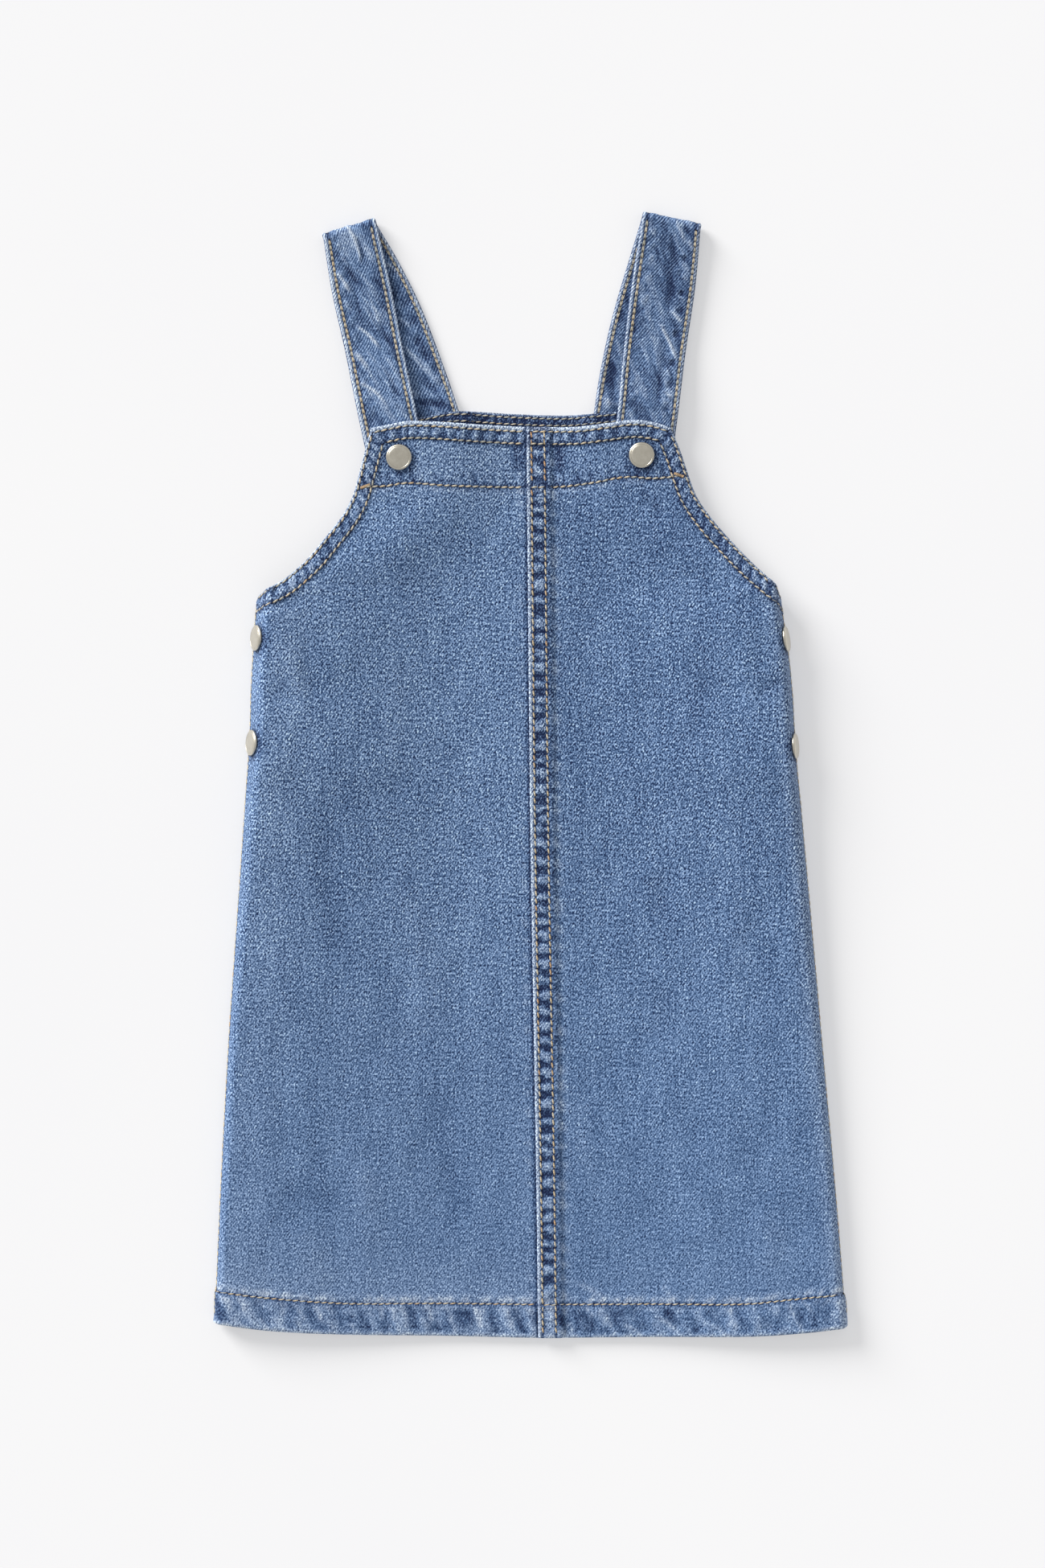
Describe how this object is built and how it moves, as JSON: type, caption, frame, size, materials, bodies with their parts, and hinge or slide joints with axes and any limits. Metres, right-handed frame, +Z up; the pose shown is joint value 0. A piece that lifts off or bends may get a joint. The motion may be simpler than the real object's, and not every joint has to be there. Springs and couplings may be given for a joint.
{
  "type": "pinafore dress",
  "caption": "Child's denim pinafore dress laid flat, front up: A-line body with a lapped centre seam, curved armholes, straps folded over to the bib and snap caps at bib and sides.",
  "frame": {"origin": "centre of the dress on the surface it lies on", "axes": "+X to the viewer's right with the front up, +Y from the hem to the shoulders, +Z up from the surface"},
  "size_m": [0.3081, 0.5468, 0.016],
  "materials": {
    "denim": "washed mid-blue right-hand twill",
    "denim_strap": "washed mid-blue twill, two plies",
    "denim_inside": "paler wrong side of the twill",
    "snap_metal": "warm satin nickel"
  },
  "bodies": {
    "root": {"front_panel_left": "denim", "front_panel_right": "denim", "back_panel": "denim", "back_facing": "denim_inside", "strap_left": "denim_strap", "strap_right": "denim_strap", "snap_cap_front_left": "snap_metal", "snap_cap_front_right": "snap_metal", "snap_cap_side_left_upper": "snap_metal", "snap_cap_side_left_lower": "snap_metal", "snap_cap_side_right_upper": "snap_metal", "snap_cap_side_right_lower": "snap_metal", "snap_ring_front_left": "snap_metal", "snap_ring_front_right": "snap_metal", "snap_ring_side_left_upper": "snap_metal", "snap_ring_side_left_lower": "snap_metal", "snap_ring_side_right_upper": "snap_metal", "snap_ring_side_right_lower": "snap_metal"}
  },
  "joints": []
}
